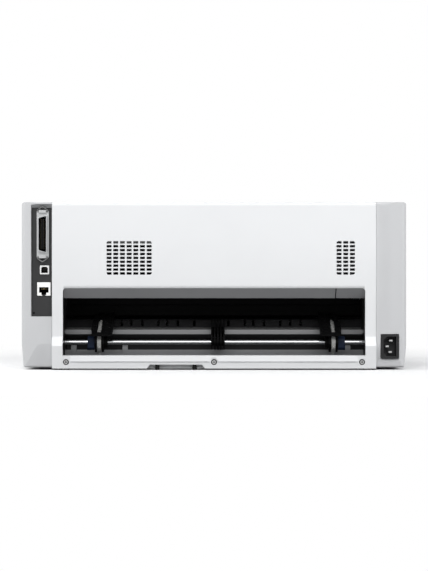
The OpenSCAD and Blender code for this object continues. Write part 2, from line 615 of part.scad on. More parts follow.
module paper_guide() color([0.08, 0.08, 0.09]) difference() {
    r = platen_d / 2 + 2;
    union() {
        along_x(-path_half, path_half, concat(
            [[guide_y0 + 1.6, skirt_z], [guide_y0 + 1.6, guide_z[0] - 2], [guide_y0 + 2.6, guide_z[0]],
                [guide_y0, guide_z[1]]],
            [for (a = [-72:-12:-132]) platen_at + r * [cos(a), sin(a)]],
            [for (a = [-132:12:-72]) platen_at + (r + 2) * [cos(a), sin(a)]],
            [[guide_y0 - 2.4, guide_z[1] - 2.4], [guide_y0 - 0.2, guide_z[0] - 2], [guide_y0 - 0.2, skirt_z]]
        ));
        for (x = [-path_half, -150, -96, -32, 32, 96, 150, path_half - 3])
            along_x(x, x + 3, [
                [guide_y0, guide_z[1] - 1.5], [guide_y0 + 0.5, guide_z[0] - 1.6], [platen_at.x + 8, 40],
                [platen_at.x - 4, 40], [platen_at.x - 4, 61.2], [platen_at.x + 10, 62]
            ]);
    }
    for (x = slot_x) box([x - 1.6, guide_y0 - 8, guide_z[0] + 1.6], [x + 1.6, guide_y0 + 5, guide_z[1] + 1]);
}

// ---- tractor feed; its own frame has the round shaft as origin and runs forward along -Y ----
belt_r = (belt_pins * pin_pitch - 2 * shaft_spacing) / (2 * PI);
belt_t = 1.4;
belt_w = 5;
pin_h = 1.8;
core_r = belt_r - belt_t / 2 - 0.4;
side_x = belt_w / 2 + 0.7;
side_t = 2.6;
hub_r = 8;
hub_x = 10.5;
ledge_x = 17;
ledge_z1 = belt_r + belt_t / 2;
lid_gap = 1.2;
lid_t = 2;
lid_y = [-58, 17];
lid_hinge = [side_x + side_t + 3.2, ledge_z1 + 0.5];
knuckle_r = 2.2;
hinge_pin_d = 2.4;
lug_y = [-34, -14];
lug_w = 5;
lever_x = [side_x + side_t + 0.4, 15];
journal_r = 6;
module at_tractor(x, side) translate([side * x, rear_shaft_at.x, rear_shaft_at.y])
    on_side(side) rotate([-tractor_tilt, 0, 0]) children();
function loop(r, steps = 10) = concat(
    [for (i = [0:steps]) r * [cos(-90 + 180 * i / steps), sin(-90 + 180 * i / steps)]],
    [for (i = [0:steps]) [-shaft_spacing, 0] + r * [cos(90 + 180 * i / steps), sin(90 + 180 * i / steps)]]
);
module post_at(s, d0, d1) {
    arc = belt_r * PI;
    top = shaft_spacing;
    lap = 2 * (top + arc);
    t = s % lap;
    r = belt_r + belt_t / 2;
    y = t < top ? -t : t < top + arc ? -top : t < 2 * top + arc ? -2 * top + (t - arc) : 0;
    turned = t < top + arc ? max(t - top, 0) : max(t - 2 * top - arc, 0) + arc;
    translate([0, y, 0]) rotate([turned / belt_r * 180 / PI, 0, 0]) translate([0, 0, r - 0.5])
        cylinder(h = pin_h + 0.5, d1 = d0, d2 = d1, $fn = 12);
}
module tractor_belt(x, side) color([0.88, 0.88, 0.86]) at_tractor(x, side) {
    difference() {
        along_x(-belt_w / 2, belt_w / 2, loop(belt_r + belt_t / 2));
        along_x(-belt_w, belt_w, loop(belt_r - belt_t / 2));
    }
    for (i = [0:belt_pins - 1]) post_at(3 + i * pin_pitch, 3.6, 2.4);
}
module tractor_frame(x, side) color([0.08, 0.08, 0.09]) at_tractor(x, side) difference() {
    union() {
        for (x = [-side_x - side_t, side_x]) along_x(x, x + side_t, rounded([
            [belt_r - 4, -11, 3], [belt_r, 3, 4], [8, ledge_z1 - 0.3, 2],
            [-shaft_spacing - 12, ledge_z1 - 0.3, 3],
            [-shaft_spacing - 14, 2, 4], [-shaft_spacing - 6, -11, 3]
        ]));
        along_x(-side_x - 1, side_x + 1, rounded([
            [6, -8, 3], [8, 0, 3], [6, 8, 3],
            [-shaft_spacing + core_r + 2, 8, 0], [-shaft_spacing + core_r + 2, -8, 0]
        ]));
        rod(-hub_x, -side_x, 0, 0, 2 * hub_r);
        box([-ledge_x, -50, ledge_z1 - 2], [-side_x, 8, ledge_z1]);
        for (y = [-46, -24, -2]) box([-ledge_x + 2, y, ledge_z1 - 6], [-side_x, y + 1.6, ledge_z1]);
        for (y = lug_y)
            box([side_x + side_t - 0.5, y, ledge_z1 - 7], [lid_hinge.x + 2, y + lug_w, lid_hinge.y + 1.2]);
        translate([lid_hinge.x, lug_y[1] + 1, lid_hinge.y]) rotate([90, 0, 0])
            cylinder(h = lug_y[1] - lug_y[0] - lug_w + 2, d = hinge_pin_d);
    }
    rod(-ledge_x - 1, ledge_x, 0, 0, round_shaft_d + 2 * fit);
    rod(-ledge_x - 1, ledge_x, -shaft_spacing, 0, 2 * (journal_r + fit));
}
module tractor_sprocket(x, side) color([0.8, 0.8, 0.78]) at_tractor(x, side) difference() {
    union() {
        rod(-side_x + 0.4, side_x - 0.4, -shaft_spacing, 0, 2 * core_r);
        rod(-side_x - side_t - 1, side_x + side_t + 1, -shaft_spacing, 0, 2 * journal_r);
    }
    w = square_shaft_w / 2 + fit;
    translate([0, -shaft_spacing, 0]) rotate([tractor_tilt, 0, 0]) box([-20, -w, -w], [20, w, w]);
}
module tractor_lid(x, side) color([0.1, 0.1, 0.11]) at_tractor(x, side) difference() {
    z0 = ledge_z1 + lid_gap;
    union() {
        box([-ledge_x, lid_y[0], z0], [lid_hinge.x, lid_y[1], z0 + lid_t]);
        box([-ledge_x, lid_y[0], z0], [-ledge_x + 2, lid_y[1], z0 + lid_t + 2.2]);
        box([side_x - 0.4, lid_y[0] + 8, z0], [side_x + 1.2, lid_y[1] - 8, z0 + lid_t + 1.4]);
        translate([lid_hinge.x, lug_y[1] - clear, lid_hinge.y]) rotate([90, 0, 0])
            cylinder(h = lug_y[1] - lug_y[0] - lug_w - 2 * clear, r = knuckle_r);
        box([lid_hinge.x - 1.6, lug_y[0] + lug_w + clear, lid_hinge.y],
            [lid_hinge.x + 1.6, lug_y[1] - clear, z0 + 1]);
    }
    box([-2.6, -shaft_spacing - 10, z0 - 1], [2.6, lid_y[1] - 9, z0 + lid_t + 3]);
    for (y = lug_y) box([side_x + 1.6, y - clear, z0 - 4], [lid_hinge.x + 4, y + lug_w + clear, z0 + 6]);
    box([side_x + 1.6, lid_y[0] - 1, z0 - 4], [lid_hinge.x + 4, -49, z0 + 6]);
    translate([lid_hinge.x, 0, lid_hinge.y]) rotate([90, 0, 0]) cylinder(h = 60, d = hinge_pin_d + 2 * fit);
}
module tractor_lever(x, side) color([0.1, 0.14, 0.28]) at_tractor(x, side) difference() {
    union() {
        rod(lever_x[0], lever_x[1], 0, 0, 2 * hub_r);
        along_x(lever_x[0], lever_x[1], rounded([
            [3, -7, 0], [12, -6.5, 2], [14, -2, 2], [7, 3.5, 0], [3, 3.5, 0]
        ]));
    }
    rod(0, ledge_x, 0, 0, round_shaft_d + 2 * fit);
}

// Fins that carry the middle of the paper, sliding on both shafts
fins = 5;
fin_t = 1.7;
fin_pitch = 4;
support_x = -5;
module centre_support() color([0.08, 0.08, 0.09]) at_tractor(support_x, 1) difference() {
    half = (fins - 1) / 2 * fin_pitch + fin_t / 2;
    union() {
        for (i = [0:fins - 1]) {
            x0 = -half + i * fin_pitch;
            along_x(x0, x0 + fin_t, rounded([
                [9, -8, 3], [11, 4, 5], [5, ledge_z1 - 0.4, 6], [-shaft_spacing - 13, ledge_z1 - 0.4, 3],
                [-shaft_spacing - 15, 4, 3], [-shaft_spacing - 5, -9, 3]
            ]));
        }
        rod(-half, half, 0, 0, 11);
        rod(-half, half, -shaft_spacing, 0, 14);
    }
    rod(-half - 1, half + 1, 0, 0, round_shaft_d + 2 * fit);
    rod(-half - 1, half + 1, -shaft_spacing, 0, square_shaft_w * sqrt(2) + 1.2);
}
module round_shaft() color([0.8, 0.81, 0.82])
    rod(-frame_x - frame_t - 2, frame_x + frame_t + 2, rear_shaft_at.x, rear_shaft_at.y, round_shaft_d);
module square_shaft() color([0.6, 0.61, 0.62]) {
    w = square_shaft_w / 2;
    translate([0, front_shaft_at.x, front_shaft_at.y]) box([-frame_x + 1, -w, -w], [frame_x - 1, w, w]);
    rod(-gear_x - gear_w - 1.5, frame_x + frame_t + 2, front_shaft_at.x, front_shaft_at.y, round_shaft_d);
}

// ---- involute gears ----
function inv(a) = tan(a) * 180 / PI - a;
function tooth_half(teeth, r, play) =
    90 / teeth - play / (gear_m * teeth) * 180 / PI + inv(20)
    - inv(acos(min(1, gear_m * teeth / 2 * cos(20) / r)));
function ring(r, a) = r * [cos(a), sin(a)];
function gear_outline(teeth, phase, play = 0.2) =
    let (
        rp = gear_m * teeth / 2,
        ra = rp + gear_m * 0.95,
        rf = rp - 1.25 * gear_m,
        r0 = max(rp * cos(20), rf + 0.1),
        radii = [r0, r0 * 0.4 + ra * 0.6, ra]
    )
    [for (i = [0:teeth - 1])
        let (mid = phase + i * 360 / teeth, root = tooth_half(teeth, r0, play))
        each concat(
            [ring(rf, mid - root)],
            [for (r = radii) ring(r, mid - tooth_half(teeth, r, play))],
            [for (j = [2:-1:0]) ring(radii[j], mid + tooth_half(teeth, radii[j], play))],
            [ring(rf, mid + root)]
        )];
mesh_platen = atan2(idler_at.y - platen_at.y, idler_at.x - platen_at.x);
mesh_shaft = atan2(front_shaft_at.y - idler_at.y, front_shaft_at.x - idler_at.x);
idler_phase = mesh_platen + 180 + 180 / idler_teeth;
function meshed(at, teeth) = at + 180 + 180 / teeth + (at - idler_phase) * idler_teeth / teeth;
shaft_phase = meshed(mesh_shaft, shaft_teeth);
pinion_phase = meshed(pinion_angle, pinion_teeth);
module gear(at, teeth, phase, hub_d, bore, holes) translate([0, at.x, at.y]) difference() {
    union() {
        along_x(-gear_x - gear_w, -gear_x, gear_outline(teeth, phase));
        if (hub_d > 0) rod(-gear_x - gear_w - 0.4, -gear_x, 0, 0, hub_d);
    }
    rod(-half_w, 0, 0, 0, bore);
    for (i = [0:1:holes - 1]) {
        spot = ring(gear_m * teeth * 0.32, i * 360 / holes);
        rod(-half_w, 0, spot.x, spot.y, gear_m * teeth * 0.17);
    }
}
module platen_gear() color([0.9, 0.9, 0.88]) gear(platen_at, platen_teeth, mesh_platen, 14, journal_d, 4);
module idler_gear() color([0.9, 0.9, 0.88]) gear(idler_at, idler_teeth, idler_phase, 14, 8 + 2 * fit, 6);
module shaft_gear() color([0.9, 0.9, 0.88])
    gear(front_shaft_at, shaft_teeth, shaft_phase, 12, round_shaft_d, 0);
module motor_pinion() color([0.75, 0.65, 0.4]) gear(motor_at, pinion_teeth, pinion_phase, 0, 4, 0);
module feed_motor() color([0.3, 0.3, 0.31]) {
    rod(-frame_x + 0.05, -frame_x + 14, motor_at.x, motor_at.y, motor_d);
    rod(-frame_x - frame_t, -frame_x + 1, motor_at.x, motor_at.y, boss_d);
    rod(-gear_x - gear_w - 0.5, -frame_x, motor_at.x, motor_at.y, 4);
}

// ---- platen, carriage and ribbon ----
module platen_sleeve() color([0.12, 0.12, 0.12]) difference() {
    rod(-platen_half, platen_half, platen_at.x, platen_at.y, platen_d);
    rod(-half_w, half_w, platen_at.x, platen_at.y, platen_d - 6);
}
module platen_core() color([0.6, 0.6, 0.62]) {
    rod(-platen_half - 1, platen_half + 1, platen_at.x, platen_at.y, platen_d - 6);
    rod(-frame_x + 1, frame_x - 1, platen_at.x, platen_at.y, 12);
    rod(-gear_x - gear_w - 1, frame_x + frame_t + 2, platen_at.x, platen_at.y, journal_d);
}
pulley_x = frame_x - 24;
pulley_y = rail_y + 11;
pulley_r = 8;
pulley_z = [46, 54];
belt_h = 5;
loop_t = 1.2;
stub_d = 5;
module carriage_rails() color([0.66, 0.67, 0.68]) {
    rod(-frame_x - frame_t - 1, frame_x + frame_t + 1, carriage_at.x, carriage_at.y, carriage_shaft_d);
    box([-frame_x + 0.1, rail_y - 1.6, 44], [frame_x - 0.1, rail_y, 72]);
    for (s = [-1, 1]) {
        x = s * pulley_x;
        box([x - 14, rail_y - 1, 42.4], [x + 14, pulley_y + 14, 44]);
        translate([x, pulley_y, 43]) cylinder(h = pulley_z[1] - 43, d = stub_d);
    }
    translate([pulley_x, pulley_y, 12]) cylinder(h = 30.6, d = 30);
    for (x = [-150, 120]) box([x, rail_y - 1.6, tray_floor_z], [x + 24, rail_y, 46]);
}
module belt_pulley(s) color([0.85, 0.8, 0.6]) translate([s * pulley_x, pulley_y, 0]) difference() {
    union() {
        translate([0, 0, pulley_z[0]]) cylinder(h = pulley_z[1] - pulley_z[0], r = pulley_r);
        for (z = [pulley_z[0], pulley_z[1] - 1]) translate([0, 0, z]) cylinder(h = 1, r = pulley_r + 2);
    }
    translate([0, 0, pulley_z[0] - 1]) cylinder(h = 12, d = stub_d + 2 * fit);
}
function track(r) = concat(
    [for (i = [0:8]) [pulley_x, pulley_y] + ring(r, -90 + 22.5 * i)],
    [for (i = [0:8]) [-pulley_x, pulley_y] + ring(r, 90 + 22.5 * i)]
);
module carriage_belt() color([0.13, 0.13, 0.13]) difference() {
    z = (pulley_z[0] + pulley_z[1]) / 2;
    along_z(z - belt_h / 2, z + belt_h / 2, track(pulley_r + 0.4 + loop_t));
    along_z(z - belt_h, z + belt_h, track(pulley_r + 0.4));
}
carriage_half = 30;
head_at = platen_at.x - platen_d / 2;
module carriage() color([0.2, 0.2, 0.21]) difference() {
    union() {
        along_x(-carriage_half, carriage_half, rounded([
            [carriage_at.x - 12, 49, 2], [carriage_at.x + 12, 49, 2], [carriage_at.x + 12, 69, 2],
            [carriage_at.x - 12, 69, 2]
        ]));
        along_x(-carriage_half, carriage_half, [
            [rail_y + 1.2, 66], [carriage_at.x, 66], [carriage_at.x, 69], [rail_y + 4.5, 69],
            [rail_y + 4.5, 75.5], [rail_y - 4.8, 75.5], [rail_y - 4.8, 67], [rail_y - 2.2, 67],
            [rail_y - 2.2, 72.6], [rail_y + 1.2, 72.6]
        ]);
        for (x = [-29, 25]) box([x, carriage_at.x - 24, 68], [x + 4, carriage_at.x - 12, 94]);
        box([-10, pulley_y + pulley_r + 3.4, pulley_z[0]], [10, carriage_at.x - 11, 56]);
        box([-10, pulley_y + pulley_r - 3, 54.4], [10, carriage_at.x - 11, 57]);
    }
    rod(-half_w, half_w, carriage_at.x, carriage_at.y, carriage_shaft_d + 2 * fit);
}
module print_head() color([0.35, 0.36, 0.38]) {
    box([-16, carriage_at.x - 8, 69], [16, carriage_at.x + 14, 92]);
    along_x(-9, 9, [
        [carriage_at.x + 13, 72], [head_at - 8, 76], [head_at - 2.2, 78], [head_at - 2.2, 84],
        [head_at - 8, 87], [carriage_at.x + 13, 91]
    ]);
    for (i = [0:6]) box([-16, carriage_at.x - 24 + 2.4 * i, 71], [16, carriage_at.x - 22.8 + 2.4 * i, 90]);
    box([-14, carriage_at.x - 24, 73], [14, carriage_at.x - 7, 76]);
}
cartridge_half = 60;
module ribbon_cartridge() color([0.14, 0.14, 0.15]) {
    y0 = carriage_at.x - 30;
    difference() {
        box([-cartridge_half, y0, 94], [cartridge_half, carriage_at.x + 22, 106]);
        box([-20, carriage_at.x + 4, 93], [20, carriage_at.x + 23, 107]);
    }
    for (s = [-1, 1]) along_z(80, 106, [
        [s * 52, carriage_at.x + 20], [s * 24, head_at - 6], [s * 20, head_at - 2.6], [s * 22, head_at - 2.6],
        [s * 27, head_at - 6], [s * 58, carriage_at.x + 20]
    ]);
    box([-21, head_at - 1.9, 78], [21, head_at - 1.5, 87]);
    for (s = [-1, 1]) box([s * 21 - 1, head_at - 3, 78], [s * 21 + 1, head_at - 1.5, 87]);
    translate([40, carriage_at.x - 4, 105]) cylinder(h = 5, d = 16, $fn = 12);
}

// ---- top cover with its smoked window ----
cover_gap_y = front_split_y + seam;
exit_slot = 8;
cover_back_y = deck_front_y - exit_slot;
window = [cover_half - 56.25, carriage_at.x - 37, carriage_at.x + 49];
cover_axis = [deck_front_y - 4.5, deck_z - 4.5];
ear_r = 3;
rib_in = ear_x + ear_t + 0.8;
rib_t = 2.5;
module band(x0, x1, y0, y1, d0, d1) difference() {
    intersection() {
        envelope(d0);
        box([x0, y0, 60], [x1, y1, deck_z + 1]);
    }
    envelope(d1);
}
module top_cover() color([0.92, 0.92, 0.93]) difference() {
    union() {
        band(-cover_half, cover_half, cover_gap_y, cover_back_y, 0, wall);
        for (x = [-rib_in - rib_t, rib_in]) band(x, x + rib_t, cover_gap_y + 1, deck_front_y - 1.5, 1, 12);
        for (x = [-rib_in - 1, ear_x - 0.8])
            rod(x, x + rib_in - ear_x + 1.8, cover_axis.x, cover_axis.y, 2 * hinge_r);
    }
    box([-window[0], window[1], 60], [window[0], window[2], deck_z + 1]);
}
module cover_window() color([0.25, 0.27, 0.3, 0.5]) {
    band(-window[0] + 0.3, window[0] - 0.3, window[1] + 0.3, window[2] - 0.3, 0.2, wall + 1.4);
    band(-window[0] - 5, window[0] + 5, window[1] - 5, window[2] + 5, wall, wall + 1.4);
}

// ---- single sheet guide lying in the deck, with two sliding edge guides ----
leaf_y = [guide_y[0], guide_y[1] - 6];
leaf_z = [deck_z - 4.4, deck_z - 2];
edge_x = guide_half - 48;
edge_slot_y = (leaf_y[0] + leaf_y[1]) / 2 + 10;
module sheet_guide() color([0.88, 0.88, 0.89]) difference() {
    union() {
        box([-guide_half + 0.6, guide_axis.x - 2, leaf_z[0]], [guide_half - 0.6, leaf_y[1], leaf_z[1]]);
        rod(-guide_half + 1, guide_half - 1, guide_axis.x, guide_axis.y, 2 * hinge_r + 1.6);
        rod(-guide_half - 2, guide_half + 2, guide_axis.x, guide_axis.y, 2 * hinge_r);
    }
    box([-guide_half + 12, edge_slot_y - 2, leaf_z[0] - 1], [guide_half - 12, edge_slot_y + 2, leaf_z[1] + 1]);
    box([-guide_half + 12, edge_slot_y - 5, leaf_z[0] - 1], [guide_half - 12, edge_slot_y + 5, leaf_z[0] + 1]);
}
module edge_guide(s) color([0.78, 0.79, 0.8]) {
    x = s * edge_x;
    fence = s > 0 ? x + 9 : x - 12;
    box([x - 10, edge_slot_y - 1.6, leaf_z[0] + 0.4], [x + 10, edge_slot_y + 1.6, leaf_z[1] + 0.6]);
    box([x - 10, edge_slot_y - 4.5, leaf_z[0] - 0.8], [x + 10, edge_slot_y + 4.5, leaf_z[0] + 0.7]);
    box([x - 12, edge_slot_y - 22, leaf_z[1] + 0.3], [x + 12, edge_slot_y + 22, leaf_z[1] + 1.2]);
    box([fence, edge_slot_y - 22, leaf_z[1] + 0.3], [fence + 3, edge_slot_y + 22, leaf_z[1] + 1.9]);
}

base_tray();
rear_cover();
rear_screws();
port_side_cap();
power_side_cap();
top_deck();
front_case();
feet_and_posts();
interface_plate();
parallel_shell();
port_insulators();
parallel_latch(1);  // parallel_latch_upper
parallel_latch(-1);  // parallel_latch_lower
usb_shell();
network_jack();
power_inlet();
inlet_pins();
side_frame_ports();
side_frame_power();
hood_liner();
upper_chute();
paper_guide();
round_shaft();
square_shaft();
shaft_gear();
centre_support();
tractor_frame(frame_x - tractor_a_in, 1);  // tractor_frame_a
tractor_belt(frame_x - tractor_a_in, 1);  // tractor_belt_a
tractor_sprocket(frame_x - tractor_a_in, 1);  // tractor_sprocket_a
tractor_lid(frame_x - tractor_a_in, 1);  // tractor_lid_a
tractor_lever(frame_x - tractor_a_in, 1);  // tractor_lever_a
tractor_frame(frame_x - tractor_b_in, -1);  // tractor_frame_b
tractor_belt(frame_x - tractor_b_in, -1);  // tractor_belt_b
tractor_sprocket(frame_x - tractor_b_in, -1);  // tractor_sprocket_b
tractor_lid(frame_x - tractor_b_in, -1);  // tractor_lid_b
tractor_lever(frame_x - tractor_b_in, -1);  // tractor_lever_b
platen_sleeve();
platen_core();
platen_gear();
idler_gear();
feed_motor();
motor_pinion();
carriage_rails();
carriage();
print_head();
ribbon_cartridge();
carriage_belt();
belt_pulley(1);  // drive_pulley
belt_pulley(-1);  // idle_pulley
top_cover();
cover_window();
sheet_guide();
edge_guide(1);  // edge_guide_a
edge_guide(-1);  // edge_guide_b
control_panel();
panel_key(0);  // key_1
panel_key(1);  // key_2
panel_key(2);  // key_3
panel_key(3);  // key_4
power_switch();
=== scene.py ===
import json
import math

import bmesh
import bpy
from mathutils import Matrix, Vector


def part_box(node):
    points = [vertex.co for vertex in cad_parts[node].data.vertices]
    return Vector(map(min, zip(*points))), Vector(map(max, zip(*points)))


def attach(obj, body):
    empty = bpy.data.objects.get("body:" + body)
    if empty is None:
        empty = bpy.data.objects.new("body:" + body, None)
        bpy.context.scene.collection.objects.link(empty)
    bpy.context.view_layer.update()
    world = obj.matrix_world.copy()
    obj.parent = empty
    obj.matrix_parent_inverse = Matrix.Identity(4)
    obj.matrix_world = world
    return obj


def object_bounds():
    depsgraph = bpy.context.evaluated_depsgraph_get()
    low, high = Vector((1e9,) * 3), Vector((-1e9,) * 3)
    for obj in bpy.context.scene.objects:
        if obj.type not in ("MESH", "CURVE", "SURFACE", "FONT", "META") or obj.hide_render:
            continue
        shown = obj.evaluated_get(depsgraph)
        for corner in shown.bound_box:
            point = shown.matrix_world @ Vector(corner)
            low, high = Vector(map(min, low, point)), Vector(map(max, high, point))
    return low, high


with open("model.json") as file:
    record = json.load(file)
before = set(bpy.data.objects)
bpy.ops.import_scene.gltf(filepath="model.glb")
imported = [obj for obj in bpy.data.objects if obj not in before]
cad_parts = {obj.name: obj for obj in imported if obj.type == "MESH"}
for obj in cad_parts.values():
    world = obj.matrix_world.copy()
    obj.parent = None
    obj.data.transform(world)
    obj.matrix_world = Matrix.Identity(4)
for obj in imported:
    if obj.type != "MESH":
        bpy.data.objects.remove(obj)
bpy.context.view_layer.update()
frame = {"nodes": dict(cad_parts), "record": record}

NODES = frame["nodes"]
MM = 0.001

# ---- camera, lights, floor; in metres ----
# The photograph looks straight at the rear from half the printer's height, through a long lens.
PHOTO_WIDTH, PHOTO_HEIGHT = 428, 571
FLOOR_ROW = 370.2
PIXEL = 1.27 * MM
VIEW_DISTANCE = 2.3
SENSOR_WIDTH = 36
REAR_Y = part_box("rear_cover")[1].y
CAMERA_HEIGHT = (FLOOR_ROW - PHOTO_HEIGHT / 2) * PIXEL

WORLD_LIGHT = 0.35
# name, place, what it is aimed at, width and height, watts
LAMPS = [
    ("key", (0.0, 2.1, 1.25), (0, 0.1, 0.1), (2.0, 0.9), 32),
    ("port_side", (1.5, 0.42, 0.8), (0.2, 0.15, 0.1), (0.4, 0.8), 12),
    ("power_side", (-1.5, 0.8, 0.9), (-0.2, 0.15, 0.1), (0.7, 1.0), 12),
    ("front", (0.9, -2.6, 1.3), (0, -0.1, 0.1), (2.0, 1.4), 38),
]

FLOOR_HALF = 6
FLOOR_UNDER_LAMPS = (0.3, 0.3, 0.3)
FLOOR_AS_SEEN = (0.95, 0.95, 0.95)
FADE_FROM, FADE_TO = 0.3, 0.75


def add_camera():
    data = bpy.data.cameras.new("camera")
    data.sensor_fit = "HORIZONTAL"
    data.sensor_width = SENSOR_WIDTH
    data.lens = SENSOR_WIDTH * VIEW_DISTANCE / (PHOTO_WIDTH * PIXEL)
    camera = bpy.data.objects.new("camera", data)
    camera.location = (0, REAR_Y + VIEW_DISTANCE, CAMERA_HEIGHT)
    camera.rotation_euler = (math.radians(90), 0, math.radians(180))
    bpy.context.scene.collection.objects.link(camera)
    bpy.context.scene.camera = camera


def add_area(name, location, target, size, watts):
    data = bpy.data.lights.new(name, "AREA")
    data.shape = "RECTANGLE"
    data.size, data.size_y = size
    data.energy = watts
    lamp = bpy.data.objects.new(name, data)
    lamp.location = location
    lamp.rotation_euler = (Vector(target) - Vector(location)).to_track_quat("-Z", "Y").to_euler()
    bpy.context.scene.collection.objects.link(lamp)


def calculate(tree, operation, a, b):
    node = tree.nodes.new("ShaderNodeMath")
    node.operation = operation
    tree.links.new(a, node.inputs[0])
    tree.links.new(b, node.inputs[1])
    return node.outputs[0]


def seen_directly(tree):
    """1 where a camera, mirror or glass ray looks, 0 for the light that falls on the object."""
    path = tree.nodes.new("ShaderNodeLightPath")
    seen = path.outputs["Is Camera Ray"]
    for ray in ("Is Glossy Ray", "Is Transmission Ray"):
        seen = calculate(tree, "MAXIMUM", seen, path.outputs[ray])
    return seen


def add_world():
    """White where it is looked at, a weak cool fill as light."""
    world = bpy.data.worlds.new("studio")
    bpy.context.scene.world = world
    world.use_nodes = True
    tree = world.node_tree
    tree.nodes.clear()
    shown = tree.nodes.new("ShaderNodeBackground")
    shown.inputs["Color"].default_value = (1, 1, 1, 1)
    shown.inputs["Strength"].default_value = 1.0
    fill = tree.nodes.new("ShaderNodeBackground")
    fill.inputs["Color"].default_value = (0.95, 0.97, 1.0, 1)
    fill.inputs["Strength"].default_value = WORLD_LIGHT
    mix = tree.nodes.new("ShaderNodeMixShader")
    tree.links.new(seen_directly(tree), mix.inputs[0])
    tree.links.new(fill.outputs[0], mix.inputs[1])
    tree.links.new(shown.outputs[0], mix.inputs[2])
    out = tree.nodes.new("ShaderNodeOutputWorld")
    tree.links.new(mix.outputs[0], out.inputs["Surface"])


def add_floor():
    """A pale floor that keeps the shadow near the object and runs out into the white of the studio."""
    mesh = bpy.data.meshes.new("floor")
    s = FLOOR_HALF
    mesh.from_pydata([(-s, -s, 0), (s, -s, 0), (s, s, 0), (-s, s, 0)], [], [(0, 1, 2, 3)])
    floor = bpy.data.objects.new("floor", mesh)
    bpy.context.scene.collection.objects.link(floor)
    material = bpy.data.materials.new("floor")
    material.use_nodes = True
    tree = material.node_tree
    tree.nodes.clear()
    seen = seen_directly(tree)
    pale = tree.nodes.new("ShaderNodeBsdfDiffuse")
    tree.links.new(blend(tree, seen, FLOOR_UNDER_LAMPS, FLOOR_AS_SEEN), pale.inputs["Color"])
    white = tree.nodes.new("ShaderNodeEmission")
    white.inputs["Strength"].default_value = 1.0
    coords = tree.nodes.new("ShaderNodeTexCoord")
    reach = tree.nodes.new("ShaderNodeVectorMath")
    reach.operation = "LENGTH"
    tree.links.new(coords.outputs["Object"], reach.inputs[0])
    fade = ramp(tree, reach.outputs["Value"], FADE_FROM, FADE_TO)
    mix = tree.nodes.new("ShaderNodeMixShader")
    tree.links.new(calculate(tree, "MULTIPLY", fade, seen), mix.inputs[0])
    tree.links.new(pale.outputs[0], mix.inputs[1])
    tree.links.new(white.outputs[0], mix.inputs[2])
    out = tree.nodes.new("ShaderNodeOutputMaterial")
    tree.links.new(mix.outputs[0], out.inputs["Surface"])
    mesh.materials.append(material)


# ---- materials ----
# The noise textures keep to the middle of their range, which is stretched from 0 to 1.
NOISE_LOW, NOISE_HIGH = 0.3, 0.7
DRIFT_SCALE = 14
GLOSS_SPREAD = 0.06
WORN_FROM, WORN_TO = 0.52, 0.6


def new_material(name):
    material = bpy.data.materials.new(name)
    material.use_nodes = True
    tree = material.node_tree
    shader = tree.nodes["Principled BSDF"]
    return material, tree, shader


def noise(tree, scale, detail=2.0, stretch=(1, 1, 1)):
    coords = tree.nodes.new("ShaderNodeTexCoord")
    mapping = tree.nodes.new("ShaderNodeMapping")
    mapping.inputs["Scale"].default_value = stretch
    texture = tree.nodes.new("ShaderNodeTexNoise")
    texture.inputs["Scale"].default_value = scale
    texture.inputs["Detail"].default_value = detail
    texture.inputs["Roughness"].default_value = 0.5
    tree.links.new(coords.outputs["Object"], mapping.inputs["Vector"])
    tree.links.new(mapping.outputs["Vector"], texture.inputs["Vector"])
    return texture.outputs["Fac"]


def ramp(tree, value, low, high, a=0.0, b=1.0):
    node = tree.nodes.new("ShaderNodeMapRange")
    node.inputs["From Min"].default_value = low
    node.inputs["From Max"].default_value = high
    node.inputs["To Min"].default_value = a
    node.inputs["To Max"].default_value = b
    tree.links.new(value, node.inputs["Value"])
    return node.outputs["Result"]


def blend(tree, factor, a, b):
    """A mix of two colours; the first may be the output of another node."""
    node = tree.nodes.new("ShaderNodeMix")
    node.data_type = "RGBA"
    if isinstance(a, bpy.types.NodeSocket):
        tree.links.new(a, node.inputs["A"])
    else:
        node.inputs["A"].default_value = (*a, 1)
    node.inputs["B"].default_value = (*b, 1)
    tree.links.new(factor, node.inputs["Factor"])
    return node.outputs["Result"]


def surface(name, colour, roughness=0.5, metallic=0.0, drift=0.04, grain=1400, depth=0.0, edge=0.5,
            brushed=(1, 1, 1), specular=0.5, wear=0.0):
    """A moulded or metal finish: slow colour drift, fine grain in the bump and the gloss, softened edges.

    depth and edge are in mm; wear lightens the outer edges.
    """
    material, tree, shader = new_material(name)
    dark = tuple(c * (1 - drift) for c in colour)
    light = tuple(min(1, c * (1 + drift)) for c in colour)
    slow = noise(tree, DRIFT_SCALE, 3)
    base = blend(tree, ramp(tree, slow, NOISE_LOW, NOISE_HIGH), dark, light)
    if wear:
        geometry = tree.nodes.new("ShaderNodeNewGeometry")
        worn = ramp(tree, geometry.outputs["Pointiness"], WORN_FROM, WORN_TO, 0, wear)
        base = blend(tree, worn, base, tuple(min(1, c * 1.6 + 0.03) for c in colour))
    tree.links.new(base, shader.inputs["Base Color"])
    fine = noise(tree, grain, 2, brushed)
    gloss = ramp(tree, fine, NOISE_LOW, NOISE_HIGH, roughness - GLOSS_SPREAD, roughness + GLOSS_SPREAD)
    tree.links.new(gloss, shader.inputs["Roughness"])
    shader.inputs["Metallic"].default_value = metallic
    shader.inputs["Specular IOR Level"].default_value = specular
    soft = tree.nodes.new("ShaderNodeBevel")
    soft.samples = 4
    soft.inputs["Radius"].default_value = edge * MM
    bump = tree.nodes.new("ShaderNodeBump")
    bump.inputs["Strength"].default_value = 0.5
    bump.inputs["Distance"].default_value = depth * MM
    tree.links.new(fine, bump.inputs["Height"])
    tree.links.new(soft.outputs["Normal"], bump.inputs["Normal"])
    tree.links.new(bump.outputs["Normal"], shader.inputs["Normal"])
    return material


